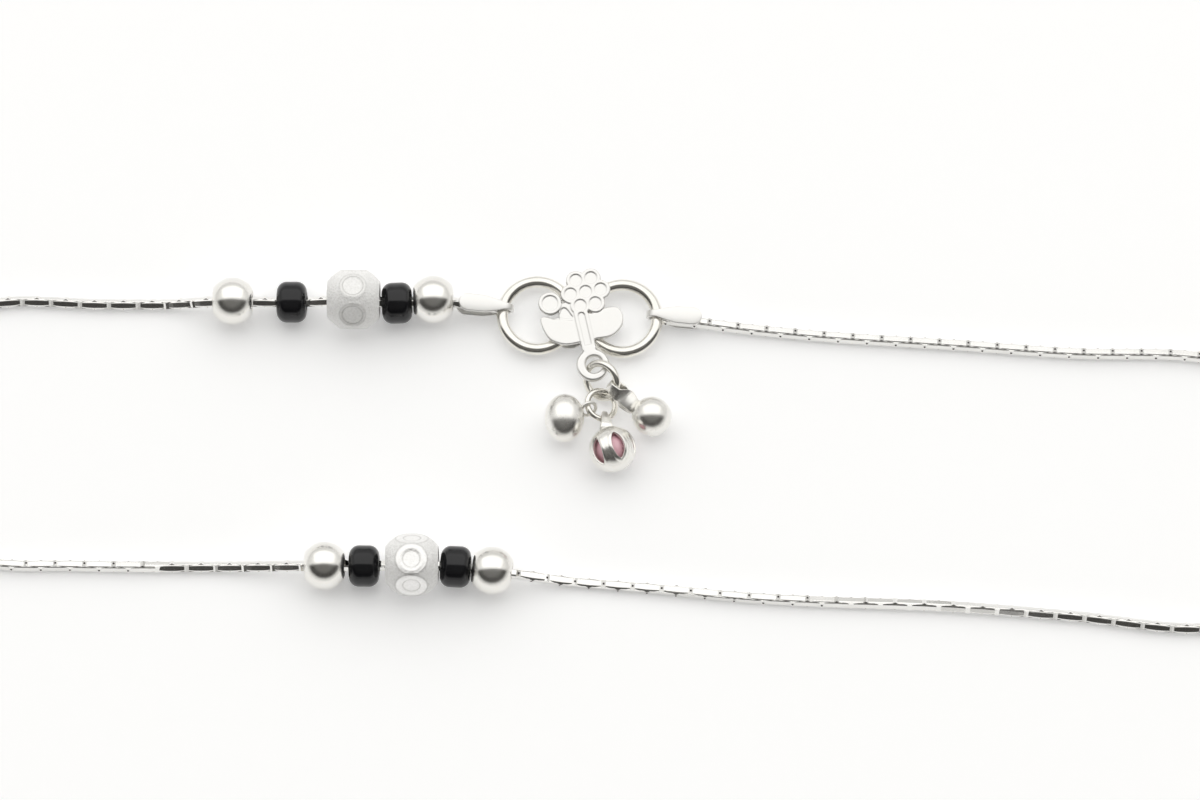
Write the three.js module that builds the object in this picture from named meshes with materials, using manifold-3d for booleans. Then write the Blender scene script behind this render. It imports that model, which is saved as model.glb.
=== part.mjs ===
// Payal anklet: a square link chain with two groups of beads, a flower clasp
// between two wire rings, and three small drops. It lies on a table as a long
// closed loop. Millimetres, Z up, X along the loop.
import * as THREE from 'three';
import Module from 'manifold-3d';
import { mergeVertices } from 'three/addons/utils/BufferGeometryUtils.js';

const wasm = await Module();
wasm.setup();

// Chain
const CHAIN_SIDE = 0.76;
const LINK_PITCH = 2.4;
const LINK_NOTCH = 0.07;
const NOTCH_HALF = 0.08;
const MEETING_GAP = 0.04;

// Beads: outer radius, length along the chain and bore radius
const SILVER_BEAD = { radius: 1.98, length: 3.3, bore: 1 };
const BLACK_BEAD = { radius: 1.72, length: 2.52, bore: 0.92, corner: 0.85 };
const LARGE_BEAD = { radius: 2.65, length: 4.36, bore: 1.34 };
const CIRCLES_ON_BEAD = 6;
const CIRCLE_RADIUS = 0.86;
const CIRCLE_WIRE = 0.2;
const CIRCLE_SINK = 0.09;
const BEAD_SIDES = 12;

// Clasp rings and the strips folded round them
const RING_RADIUS = 2.9;
const RING_WIRE = 0.5;
const RING_HEIGHT = 0.92;
const STRIP_THICK = 0.28;
const STRIP_CLEARANCE = 0.13;
const TAB_WIDTH = 1.5;
const TAB_NECK = 0.62;

// Flower plate
const PLATE_BOTTOM = 1.52;
const PLATE_THICK = 0.4;
const RECESS_DEPTH = 0.12;
const PLATE_TURN = 12.8;
const EYELET = [-0.59, 2.56];
const EYELET_RADIUS = 1.38;
const EYELET_HOLE = 0.8;
const FLOWER_CENTRE = [0.79, 6.27];
const PETALS = 6;
const PETAL_REACH = 1.27;
const PETAL_RECESS = 0.53;
const PETAL_RIM = 0.3;
const BUD_CENTRE = [-2.32, 5.94];
const BUD_RECESS = 0.68;
const STEM_WIDTH = 1.2;
const HOOK_THICK = 0.34;

// Drops
const DROP_RING_RADIUS = 1.47;
const DROP_RING_WIRE = 0.23;
const CARRIER_RADIUS = 1.24;
const CARRIER_WIRE = 0.21;
const BAIL_THICK = 0.2;
const LEFT_BALL = { radius: 1.68, stretch: 1.22, centre: [-2.95, -1.98] };
const RIGHT_BALL = { radius: 1.66, centre: [4.29, -1.82] };
const PIERCED_BALL = { radius: 1.95, wall: 0.28, windows: 6, centre: [1.03, -4.69] };
const CORE_CLEARANCE = 0.2;

// Route of the chain: x, y, lift above the table, roll of the square section
const ROUTE = [
  [-8.9, 7.72, 0.5, 45],
  [-12.0, 8.0, 1.0, 45],
  [-13.9, 8.14, 1.28, 44],
  [-16.9, 7.9, 1.2, 44],
  [-20.5, 7.95, 1.95, 45],
  [-25.7, 7.98, 1.2, 45],
  [-30.6, 8.0, 1.4, 43],
  [-32.6, 8.03, 1.08, 43],
  [-36.0, 8.1, 0.1, 42],
  [-41.7, 8.13, 0, 42],
  [-50, 8.27, 0, 42],
  [-55.6, 6.8, 0, 50],
  [-59.3, 2.5, 0, 58],
  [-60.3, -2.9, 0, 64],
  [-59.3, -8.3, 0, 70],
  [-55.6, -12.6, 0, 72],
  [-50, -14.07, 0, 72],
  [-44, -14.25, 0, 72],
  [-38.1, -14.34, 0, 68],
  [-35.5, -14.34, 0, 46],
  [-31.3, -14.34, 0.05, 45],
  [-24.8, -14.5, 1.05, 45],
  [-22.7, -14.57, 1.38, 45],
  [-19.45, -14.54, 1.2, 45],
  [-15.43, -14.64, 1.9, 45],
  [-11.93, -14.6, 1.2, 50],
  [-8.95, -14.97, 1.4, 60],
  [-6.8, -15.2, 1.08, 80],
  [-2.2, -15.62, 0.05, 92],
  [4.8, -16.22, 0, 84],
  [12.1, -16.93, 0, 66],
  [18, -17.27, 0, 57],
  [28.4, -17.67, 0, 49],
  [38.5, -18.44, 0, 48],
  [49.8, -19.49, 0, 47],
  [55.7, -18.1, 0, 44],
  [59.8, -13.6, 0, 42],
  [60.9, -8, 0, 40],
  [59.8, -2.4, 0, 38],
  [55.7, 2.1, 0, 36],
  [49.9, 3.56, 0, 35],
  [39.4, 3.89, 0, 35],
  [29.9, 4.58, 0, 35],
  [19.4, 5.28, 0, 35],
  [12, 5.98, 0.1, 36],
  [8.33, 6.42, 0.34, 38],
  [5.5, 6.68, 0.4, 40],
];
const MEETING_BEAD = 'bead_large_2';
const BEADS = [
  ['bead_silver_1', SILVER_BEAD, -30.6, 8.0],
  ['bead_black_1', BLACK_BEAD, -25.7, 7.98],
  ['bead_large_1', LARGE_BEAD, -20.5, 7.99],
  ['bead_black_2', BLACK_BEAD, -16.93, 7.82],
  ['bead_silver_2', SILVER_BEAD, -13.9, 8.32],
  ['bead_silver_3', SILVER_BEAD, -22.7, -14.57],
  ['bead_black_3', BLACK_BEAD, -19.45, -14.54],
  ['bead_large_2', LARGE_BEAD, -15.47, -14.7],
  ['bead_black_4', BLACK_BEAD, -11.9, -14.57],
  ['bead_silver_4', SILVER_BEAD, -8.9, -15.05],
];

const radians = THREE.MathUtils.degToRad;
const vector = (x, y, z) => new THREE.Vector3(x, y, z);

// Materials
function silver(name, colour, roughness) {
  const metal = new THREE.MeshStandardMaterial({ color: colour, roughness, metalness: 1 });
  metal.name = name;
  return metal;
}

function glass(name, colour, roughness) {
  const clear = new THREE.MeshStandardMaterial({ color: colour, roughness, metalness: 0 });
  clear.name = name;
  return clear;
}

// Solid and mesh conversion
function toSolid(geometry) {
  const bare = new THREE.BufferGeometry();
  bare.setAttribute('position', geometry.getAttribute('position').clone());
  if (geometry.index) {
    bare.setIndex(geometry.index.clone());
  }
  const merged = mergeVertices(bare, 1e-4);
  const source = merged.index.array;
  const corners = [];
  for (let i = 0; i < source.length; i += 3) {
    const [a, b, c] = [source[i], source[i + 1], source[i + 2]];
    if (a !== b && b !== c && a !== c) {
      corners.push(a, b, c);
    }
  }
  return new wasm.Manifold(new wasm.Mesh({
    numProp: 3,
    vertProperties: Float32Array.from(merged.attributes.position.array),
    triVerts: Uint32Array.from(corners),
  }));
}

function toGeometry(solid) {
  const mesh = solid.getMesh();
  const geometry = new THREE.BufferGeometry();
  geometry.setAttribute('position', new THREE.BufferAttribute(Float32Array.from(mesh.vertProperties), 3));
  geometry.setIndex(new THREE.BufferAttribute(Uint32Array.from(mesh.triVerts), 1));
  geometry.computeVertexNormals();
  return geometry;
}

function joined(solids) {
  return solids.reduce((whole, solid) => whole.add(solid));
}

// Turned and flat shapes
function turned(profile, sides) {
  const points = profile.map(([r, h]) => new THREE.Vector2(r, h));
  return new THREE.LatheGeometry(points, sides);
}

function wireRing(radius, wire, sides, wireSides) {
  const profile = [];
  for (let i = 0; i <= wireSides; i += 1) {
    const angle = -(i % wireSides) * 2 * Math.PI / wireSides + Math.PI / wireSides;
    profile.push([radius + wire * Math.cos(angle), -wire * Math.sin(angle)]);
  }
  return turned(profile, sides);
}

function slab(shape, bottom, thick, steps = 8) {
  const geometry = new THREE.ExtrudeGeometry(shape, { depth: thick, bevelEnabled: false, curveSegments: steps });
  geometry.translate(0, 0, bottom);
  return geometry;
}

function disc(x, y, radius, sides) {
  const shape = new THREE.Shape();
  for (let i = 0; i < sides; i += 1) {
    const angle = i * 2 * Math.PI / sides;
    shape[i === 0 ? 'moveTo' : 'lineTo'](x + radius * Math.cos(angle), y + radius * Math.sin(angle));
  }
  shape.closePath();
  return shape;
}

function outline(points) {
  return new THREE.Shape(points.map(([x, y]) => new THREE.Vector2(x, y)));
}

function smoothOutline(points, divisions) {
  const curve = new THREE.CatmullRomCurve3(points.map(([x, y]) => vector(x, y, 0)), true, 'centripetal');
  return new THREE.Shape(curve.getPoints(divisions).slice(0, -1).map((p) => new THREE.Vector2(p.x, p.y)));
}

function rectangle(x0, y0, x1, y1) {
  return outline([[x0, y0], [x1, y0], [x1, y1], [x0, y1]]);
}

// Turn a shape built along X, Y, Z so that these run along the given axes
function laid(geometry, origin, along, up) {
  const x = along.clone().normalize();
  const y = new THREE.Vector3().crossVectors(up, x).normalize();
  const z = new THREE.Vector3().crossVectors(x, y);
  const place = new THREE.Matrix4().makeBasis(x, y, z).setPosition(origin);
  geometry.applyMatrix4(place);
  return geometry;
}

// Chain: a square strand with a shallow notch at each joint of the links.
// Joints show by turns on one pair of faces and on the other.
function restHeight(roll) {
  const turn = radians(roll % 90);
  return (CHAIN_SIDE / 2) * (Math.cos(turn) + Math.sin(turn)) + 0.01;
}

class Route {
  constructor(list) {
    this.rolls = list.map((row) => row[3]);
    const points = list.map(([x, y, lift, roll]) => vector(x, y, lift + restHeight(roll)));
    this.curve = new THREE.CatmullRomCurve3(points, false, 'centripetal');
    this.curve.arcLengthDivisions = 3000;
    this.length = this.curve.getLength();
  }

  at(distance) {
    const u = Math.min(Math.max(distance / this.length, 0), 1);
    const t = this.curve.getUtoTmapping(u);
    const place = t * (this.rolls.length - 1);
    const low = Math.min(Math.floor(place), this.rolls.length - 2);
    const roll = THREE.MathUtils.lerp(this.rolls[low], this.rolls[low + 1], place - low);
    const point = this.curve.getPoint(t);
    point.z = Math.max(point.z, restHeight(roll));
    const along = this.curve.getTangent(t);
    const side = new THREE.Vector3().crossVectors(vector(0, 0, 1), along).normalize();
    const up = new THREE.Vector3().crossVectors(along, side);
    const turn = radians(roll);
    const face = side.clone().multiplyScalar(Math.cos(turn)).addScaledVector(up, Math.sin(turn));
    const edge = side.clone().multiplyScalar(-Math.sin(turn)).addScaledVector(up, Math.cos(turn));
    return { point, along, face, edge };
  }
}

function chainStrand(route, start, end) {
  const half = CHAIN_SIDE / 2;
  const stations = [[start, half, half]];
  const joints = [
    [0, -NOTCH_HALF, 0, 0],
    [0, 0, LINK_NOTCH, 0],
    [0, NOTCH_HALF, 0, 0],
    [0.5, -NOTCH_HALF, 0, 0],
    [0.5, 0, 0, LINK_NOTCH],
    [0.5, NOTCH_HALF, 0, 0],
  ];
  for (let link = 0; link * LINK_PITCH < end + LINK_PITCH; link += 1) {
    for (const [phase, shift, faceCut, edgeCut] of joints) {
      const distance = (link + phase + shift) * LINK_PITCH;
      if (distance > start + 0.1 && distance < end - 0.1) {
        stations.push([distance, half - faceCut, half - edgeCut]);
      }
    }
  }
  stations.push([end, half, half]);
  const positions = [];
  for (const [distance, faceHalf, edgeHalf] of stations) {
    const { point, face, edge } = route.at(distance);
    for (const [a, b] of [[1, 1], [-1, 1], [-1, -1], [1, -1]]) {
      const corner = point.clone().addScaledVector(face, a * faceHalf).addScaledVector(edge, b * edgeHalf);
      positions.push(corner.x, corner.y, corner.z);
    }
  }
  const index = [0, 2, 1, 0, 3, 2];
  for (let s = 0; s < stations.length - 1; s += 1) {
    for (let c = 0; c < 4; c += 1) {
      const a = s * 4 + c;
      const b = s * 4 + (c + 1) % 4;
      index.push(a, b, b + 4, a, b + 4, a + 4);
    }
  }
  const last = (stations.length - 1) * 4;
  index.push(last, last + 1, last + 2, last, last + 2, last + 3);
  const geometry = new THREE.BufferGeometry();
  geometry.setAttribute('position', new THREE.Float32BufferAttribute(positions, 3));
  geometry.setIndex(index);
  geometry.computeVertexNormals();
  return geometry;
}

// Beads, turned round Z and laid along the chain
function ballProfile({ radius, length, bore }, steps) {
  const reach = Math.asin(length / 2 / radius);
  const profile = [[bore, -length / 2]];
  for (let i = 0; i <= steps; i += 1) {
    const angle = -reach + 2 * reach * i / steps;
    profile.push([radius * Math.cos(angle), radius * Math.sin(angle)]);
  }
  profile.push([bore, length / 2], [bore, -length / 2]);
  return profile;
}

function barrelProfile({ radius, length, bore, corner }, steps) {
  const profile = [[bore, -length / 2]];
  for (const end of [-1, 1]) {
    for (let i = 0; i <= steps; i += 1) {
      const angle = (end < 0 ? i / steps : 1 - i / steps) * Math.PI / 2;
      profile.push([
        radius - corner * (1 - Math.sin(angle)),
        end * (length / 2 - corner * (1 - Math.cos(angle))),
      ]);
    }
  }
  profile.push([bore, length / 2], [bore, -length / 2]);
  return profile;
}

function largeBead(bead) {
  let solid = toSolid(turned(ballProfile(bead, 6), 16));
  for (let i = 0; i < CIRCLES_ON_BEAD; i += 1) {
    const angle = i * 2 * Math.PI / CIRCLES_ON_BEAD;
    const circle = wireRing(CIRCLE_RADIUS, CIRCLE_WIRE, 10, 4);
    circle.rotateX(Math.PI / 2);
    circle.translate(0, 0, Math.sqrt(bead.radius ** 2 - CIRCLE_RADIUS ** 2) - CIRCLE_SINK);
    circle.rotateY(angle);
    solid = solid.add(toSolid(circle));
  }
  return toGeometry(solid);
}

function beadGeometry(bead) {
  if (bead === LARGE_BEAD) {
    return largeBead(bead);
  }
  const profile = bead === BLACK_BEAD ? barrelProfile(bead, 3) : ballProfile(bead, 6);
  return turned(profile, BEAD_SIDES);
}

// Clasp rings
function claspRing(x, y) {
  const ring = wireRing(RING_RADIUS, RING_WIRE, 32, 8);
  ring.rotateX(Math.PI / 2);
  ring.translate(x, y, RING_HEIGHT);
  return ring;
}

function wireReach(offset) {
  return Math.sqrt(RING_RADIUS ** 2 - offset ** 2);
}

// A strip folded round a wire: side view in X and Z, its fold at the origin
function foldedStrip(reachTop, reachBottom, innerTop, innerBottom, thickTop, thickBottom, width) {
  const shape = new THREE.Shape();
  const steps = 8;
  const middle = (innerTop + innerBottom) / 2;
  const inner = (innerTop - innerBottom) / 2;
  const outerTop = innerTop + thickTop;
  const outerBottom = innerBottom - thickBottom;
  const outerMiddle = (outerTop + outerBottom) / 2;
  const outer = (outerTop - outerBottom) / 2;
  shape.moveTo(-reachTop, outerTop);
  shape.lineTo(-reachTop, innerTop);
  for (let i = 0; i <= steps; i += 1) {
    const angle = Math.PI / 2 - Math.PI * i / steps;
    shape.lineTo(inner * Math.cos(angle), middle + inner * Math.sin(angle));
  }
  shape.lineTo(-reachBottom, innerBottom);
  shape.lineTo(-reachBottom, outerBottom);
  for (let i = 0; i <= steps; i += 1) {
    const angle = -Math.PI / 2 + Math.PI * i / steps;
    shape.lineTo(outer * Math.cos(angle), outerMiddle + outer * Math.sin(angle));
  }
  shape.closePath();
  const geometry = new THREE.ExtrudeGeometry(shape, { depth: width, bevelEnabled: false });
  geometry.translate(0, 0, -width / 2);
  geometry.rotateX(Math.PI / 2);
  return geometry;
}

// End tab: leaf-shaped strip folded round a ring's wire, fold towards +X
function endTab(length) {
  const inner = RING_WIRE + STRIP_CLEARANCE;
  const fold = foldedStrip(length, length, inner, -inner, STRIP_THICK, STRIP_THICK, TAB_WIDTH + 1);
  const half = TAB_WIDTH / 2;
  const neck = TAB_NECK / 2;
  const leaf = outline([
    [-length + 0.02, 0],
    [-length + 0.12, half * 0.62],
    [-length + 0.42, half * 0.93],
    [-length + 1.0, half],
    [-length * 0.42, half * 0.96],
    [-0.75, half * 0.72],
    [0.1, neck],
    [1.2, neck * 0.8],
    [1.2, -neck * 0.8],
    [0.1, -neck],
    [-0.75, -half * 0.72],
    [-length * 0.42, -half * 0.96],
    [-length + 1.0, -half],
    [-length + 0.42, -half * 0.93],
    [-length + 0.12, -half * 0.62],
  ].reverse());
  return toGeometry(toSolid(fold).intersect(toSolid(slab(leaf, -2, 4))));
}

// Flower plate, in its own frame with the eyelet at the origin
function flowerPlate() {
  const bottom = PLATE_BOTTOM;
  const thick = PLATE_THICK;
  const circles = [[...FLOWER_CENTRE, PETAL_RECESS]];
  for (let i = 0; i < PETALS; i += 1) {
    const angle = radians(-3 + 360 / PETALS * i);
    circles.push([
      FLOWER_CENTRE[0] + PETAL_REACH * Math.cos(angle),
      FLOWER_CENTRE[1] + PETAL_REACH * Math.sin(angle),
      PETAL_RECESS,
    ]);
  }
  circles.push([...BUD_CENTRE, BUD_RECESS]);
  const leftLeaf = [
    [-0.3, 4.0], [-0.9, 4.07], [-2.19, 4.51], [-3.1, 4.95], [-3.42, 4.6], [-3.3, 3.6], [-2.9, 2.8],
    [-1.88, 2.21], [-0.8, 2.12], [-0.3, 2.2],
  ];
  const rightLeaf = [
    [0.3, 2.3], [0.9, 2.12], [2.08, 2.1], [2.96, 2.62], [3.38, 3.45], [3.15, 4.34], [2.28, 4.56],
    [1.62, 4.4], [0.9, 4.35], [0.3, 4.4],
  ];
  const solids = circles.map(([x, y, r]) => toSolid(slab(disc(x, y, r + PETAL_RIM, 16), bottom, thick)));
  solids.push(toSolid(slab(smoothOutline(leftLeaf, 24), bottom, thick)));
  solids.push(toSolid(slab(smoothOutline(rightLeaf, 24), bottom, thick)));
  solids.push(toSolid(slab(rectangle(-STEM_WIDTH / 2, 0.9, STEM_WIDTH / 2, 5.2), bottom, thick)));
  solids.push(toSolid(slab(outline([[-1.9, 4.2], [-0.3, 3.9], [-0.1, 5.6], [-1.7, 5.8]]), bottom, thick)));
  solids.push(toSolid(slab(disc(0, 0, EYELET_RADIUS, 24), bottom, thick)));
  let plate = joined(solids);
  const top = bottom + thick;
  for (const [x, y, r] of circles) {
    plate = plate.subtract(toSolid(slab(disc(x, y, r, 12), top - RECESS_DEPTH, 1)));
  }
  const channel = outline([
    [-0.3, 1.75], [0.3, 1.75], [0.3, 4.35], [0.21, 4.55], [0, 4.65], [-0.21, 4.55], [-0.3, 4.35],
  ]);
  const arch = outline([
    [-1.95, 4.62], [-0.78, 4.28], [-0.86, 4.75], [-1.08, 5.2], [-1.32, 5.34], [-1.55, 5.22], [-1.72, 4.95],
  ]);
  plate = plate.subtract(toSolid(slab(channel, top - RECESS_DEPTH, 1)));
  plate = plate.subtract(toSolid(slab(arch, top - RECESS_DEPTH * 0.7, 1)));
  return plate.subtract(toSolid(slab(disc(0, 0, EYELET_HOLE, 18), bottom - 1, 3)));
}

// Hook behind a leaf: folded down round the ring's wire and back under it
function leafHook(side, foldAt, reach, low, high) {
  const hook = foldedStrip(
    0.2, reach, PLATE_BOTTOM + 0.06, HOOK_THICK, PLATE_THICK - 0.06, HOOK_THICK, high - low,
  );
  hook.translate(foldAt, (low + high) / 2, 0);
  const solid = toSolid(hook);
  return side > 0 ? solid : solid.mirror([1, 0, 0]);
}

function claspFlower() {
  const widened = outline([[-0.4, 2.3], [-0.4, 3.4], [-2.3, 3.4], [-2.3, 2.62], [-1.85, 2.36], [-1.2, 2.25]].reverse());
  const whole = joined([
    flowerPlate(),
    leafHook(-1, 2.28, 1.9, 3.35, 4.6),
    toSolid(slab(widened, 0, HOOK_THICK)),
    leafHook(1, 2.4, 2.5, 3.0, 4.25),
  ]);
  const geometry = toGeometry(whole);
  geometry.rotateZ(radians(PLATE_TURN));
  geometry.translate(EYELET[0], EYELET[1], 0);
  return geometry;
}

// Drop rings: the first leans through the eyelet, the second hangs in it.
// A ring's line runs from its middle to its foot, and it leans about that line.
const DROP_RING_TOP = vector(EYELET[0] + 0.02, EYELET[1], PLATE_BOTTOM + PLATE_THICK / 2);
const DROP_RING_FOOT = vector(0.62, -0.02, 1.0);
const DROP_RING = leaning(
  DROP_RING_TOP.clone().add(DROP_RING_FOOT).multiplyScalar(0.5),
  DROP_RING_FOOT.clone().sub(DROP_RING_TOP), 42, DROP_RING_RADIUS, DROP_RING_WIRE,
);
const CARRIER_RING = leaning(vector(0.1, -0.66, 0.98), vector(0.1, -1, 0.06), -22, CARRIER_RADIUS, CARRIER_WIRE);

function leaning(centre, line, lean, radius, wire) {
  const x = line.clone().normalize();
  const y = new THREE.Vector3().crossVectors(vector(0, 0, 1), x).normalize();
  const z = new THREE.Vector3().crossVectors(x, y);
  const turn = radians(lean);
  const across = y.multiplyScalar(Math.cos(turn)).addScaledVector(z, Math.sin(turn));
  return { centre, line: x, across, radius, wire };
}

function ringPoint(ring, degrees) {
  const turn = radians(degrees);
  const point = ring.centre.clone()
    .addScaledVector(ring.line, ring.radius * Math.cos(turn))
    .addScaledVector(ring.across, ring.radius * Math.sin(turn));
  const tangent = ring.line.clone().multiplyScalar(-Math.sin(turn)).addScaledVector(ring.across, Math.cos(turn));
  return { point, tangent };
}

function leaningRing(ring) {
  const geometry = wireRing(ring.radius, ring.wire, 24, 6);
  geometry.rotateX(Math.PI / 2);
  return laid(geometry, ring.centre, ring.line, new THREE.Vector3().crossVectors(ring.line, ring.across));
}

// Bail: a flat strip bent into a long loop, its far end at the origin and
// its length along X, its width along Y
function stripBail(length, halfHeight, width) {
  const shape = new THREE.Shape();
  const hole = new THREE.Path();
  const inner = halfHeight - BAIL_THICK;
  for (const [path, r, turn] of [[shape, halfHeight, 1], [hole, inner, -1]]) {
    const points = [];
    for (let i = 0; i <= 8; i += 1) {
      const angle = Math.PI / 2 + Math.PI * i / 8;
      points.push([halfHeight + r * Math.cos(angle), r * Math.sin(angle)]);
    }
    for (let i = 0; i <= 8; i += 1) {
      const angle = -Math.PI / 2 + Math.PI * i / 8;
      points.push([length - halfHeight + r * Math.cos(angle), r * Math.sin(angle)]);
    }
    if (turn < 0) {
      points.reverse();
    }
    points.forEach(([x, y], i) => path[i === 0 ? 'moveTo' : 'lineTo'](x, y));
    path.closePath();
  }
  shape.holes.push(hole);
  const geometry = new THREE.ExtrudeGeometry(shape, { depth: width, bevelEnabled: false });
  geometry.translate(0, 0, -width / 2);
  geometry.rotateX(Math.PI / 2);
  return geometry;
}

// Hang a strip bail on a ring's wire, running to the ball's neck
function hungBail(ring, degrees, neck, halfHeight, width, slack) {
  const { point, tangent } = ringPoint(ring, degrees);
  const along = neck.clone().sub(point);
  const length = along.length() + halfHeight + slack;
  along.normalize();
  const across = tangent.clone().addScaledVector(along, -tangent.dot(along));
  const up = new THREE.Vector3().crossVectors(along, across);
  const start = point.clone().addScaledVector(along, -halfHeight - slack);
  return laid(stripBail(length, halfHeight, width), start, along, up);
}

function dropBallLeft() {
  const { radius, stretch, centre } = LEFT_BALL;
  const ball = new THREE.SphereGeometry(radius, 16, 10);
  ball.scale(1, stretch, 1);
  ball.translate(centre[0], centre[1], radius);
  const { point } = ringPoint(CARRIER_RING, -72);
  const along = vector(centre[0], centre[1], radius).sub(point).normalize();
  const bail = wireRing(0.64, 0.15, 14, 6);
  laid(bail, point, along, vector(0, 0, 1));
  return toGeometry(joined([toSolid(ball), toSolid(bail)]));
}

function dropBallRight() {
  const { radius, centre } = RIGHT_BALL;
  const ball = new THREE.SphereGeometry(radius, 16, 10);
  ball.translate(centre[0], centre[1], radius);
  const bail = hungBail(DROP_RING, 42, vector(3.0, -1.15, 1.6), 0.6, 0.85, 0.2);
  return toGeometry(joined([toSolid(ball), toSolid(bail)]));
}

function dropBallPierced() {
  const { radius, wall, windows } = PIERCED_BALL;
  let shell = toSolid(new THREE.SphereGeometry(radius, 20, 12));
  shell = shell.subtract(toSolid(new THREE.SphereGeometry(radius - wall, 14, 8)));
  const almond = smoothOutline([
    [0, 1.12], [-0.34, 0.66], [-0.5, 0], [-0.34, -0.66], [0, -1.12], [0.34, -0.66], [0.5, 0], [0.34, 0.66],
  ], 12);
  for (let i = 0; i < windows; i += 1) {
    const cut = slab(almond, 0.9, 2);
    cut.rotateY(radians(19 + i * 360 / windows));
    shell = shell.subtract(toSolid(cut));
  }
  const geometry = toGeometry(shell);
  const axis = vector(-0.3, 0.95, 0.08);
  const view = vector(0, -0.242, 0.97);
  const centre = vector(PIERCED_BALL.centre[0], PIERCED_BALL.centre[1], radius);
  laid(geometry, centre, new THREE.Vector3().crossVectors(axis, view), view);
  const bail = hungBail(CARRIER_RING, 6, vector(0.55, -3.1, 2.0), 0.57, 0.62, 0.14);
  const room = new THREE.SphereGeometry(radius - wall / 2, 16, 10);
  room.translate(centre.x, centre.y, centre.z);
  const trimmed = toSolid(bail).subtract(toSolid(room));
  return toGeometry(joined([toSolid(geometry), trimmed]));
}

function dropCore() {
  const core = new THREE.SphereGeometry(PIERCED_BALL.radius - PIERCED_BALL.wall - CORE_CLEARANCE, 16, 10);
  core.translate(PIERCED_BALL.centre[0], PIERCED_BALL.centre[1], PIERCED_BALL.radius);
  return core;
}

// Assembly
const layout = new THREE.Group();
layout.name = 'anklet_layout';

function addPiece(name, geometry, material) {
  const mesh = new THREE.Mesh(geometry, material);
  mesh.name = name;
  layout.add(mesh);
}

function addChain(route) {
  const [, , x, y] = BEADS.find(([name]) => name === MEETING_BEAD);
  const meeting = nearestDistance(route, x, y);
  const half = MEETING_GAP / 2;
  addPiece('chain_left', chainStrand(route, 0, meeting - half), silver('chain_silver', 0xe4e2dd, 0.18));
  addPiece('chain_right', chainStrand(route, meeting + half, route.length), silver('chain_silver', 0xe4e2dd, 0.18));
}

function beadMaterial(bead) {
  if (bead === BLACK_BEAD) {
    return glass('black_glass', 0x0a0a0c, 0.08);
  }
  return bead === LARGE_BEAD ? silver('frosted_silver', 0xf0efeb, 0.5) : silver('bead_silver', 0xe6e3dd, 0.24);
}

function nearestDistance(route, x, y) {
  let nearest = 0;
  let least = Infinity;
  for (let distance = 0; distance <= route.length; distance += 0.02) {
    const { point } = route.at(distance);
    const away = Math.hypot(point.x - x, point.y - y);
    if (away < least) {
      least = away;
      nearest = distance;
    }
  }
  return nearest;
}

function addBeads(route) {
  const front = { bead_large_1: 27, bead_large_2: 13 };
  for (const [name, bead, x, y] of BEADS) {
    const geometry = beadGeometry(bead);
    const { point, along } = route.at(nearestDistance(route, x, y));
    along.setZ(0).normalize();
    if (along.x < 0) {
      along.negate();
    }
    geometry.rotateY(-Math.PI / 2);
    geometry.rotateZ(-Math.PI / 2);
    geometry.rotateX(radians(front[name] ?? 0));
    const raised = bead === LARGE_BEAD ? CIRCLE_SINK : 0;
    laid(geometry, vector(point.x, point.y, bead.radius + raised), along, vector(0, 0, 1));
    addPiece(name, geometry, beadMaterial(bead));
  }
}

function addClasp() {
  const rings = { left: [-5.25, 7.03], right: [1.87, 6.77] };
  for (const [side, [x, y]] of Object.entries(rings)) {
    addPiece(`clasp_ring_${side}`, claspRing(x, y), silver('ring_silver', 0xe2dfd8, 0.12));
  }
  const left = endTab(3.85);
  left.rotateY(radians(9));
  left.rotateZ(radians(-4.3));
  left.translate(rings.left[0] - wireReach(7.68 - rings.left[1]), 7.68, RING_HEIGHT);
  addPiece('end_tab_left', left, silver('tab_silver', 0xeeece8, 0.32));
  const right = endTab(3.75);
  right.rotateZ(radians(180 - 4.5));
  right.translate(rings.right[0] + wireReach(7.03 - rings.right[1]), 7.03, RING_HEIGHT);
  addPiece('end_tab_right', right, silver('tab_silver', 0xeeece8, 0.32));
  addPiece('clasp_flower', claspFlower(), silver('plate_silver', 0xf2f1ee, 0.4));
}

function addDrops() {
  addPiece('drop_ring', leaningRing(DROP_RING), silver('ring_silver', 0xe2dfd8, 0.12));
  addPiece('carrier_ring', leaningRing(CARRIER_RING), silver('ring_silver', 0xe2dfd8, 0.12));
  addPiece('drop_ball_left', dropBallLeft(), silver('drop_silver', 0xe8e5de, 0.22));
  addPiece('drop_ball_right', dropBallRight(), silver('drop_silver', 0xe8e5de, 0.22));
  addPiece('drop_ball_pierced', dropBallPierced(), silver('drop_silver', 0xe8e5de, 0.22));
  addPiece('drop_core', dropCore(), glass('pink_glass', 0xd67f9f, 0.3));
}

const route = new Route(ROUTE);
addChain(route);
addBeads(route);
addClasp();
addDrops();

// The whole anklet stands centred on the origin, its lowest point at zero
const box = new THREE.Box3().setFromObject(layout, true);
const middle = box.getCenter(new THREE.Vector3());
layout.position.set(-middle.x, -middle.y, -box.min.z);

const anklet = new THREE.Group();
anklet.name = 'payal_anklet';
anklet.add(layout);

export default anklet;
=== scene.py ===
import math
import bmesh
import bpy
import numpy as np
from mathutils import Matrix, Vector


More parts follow.
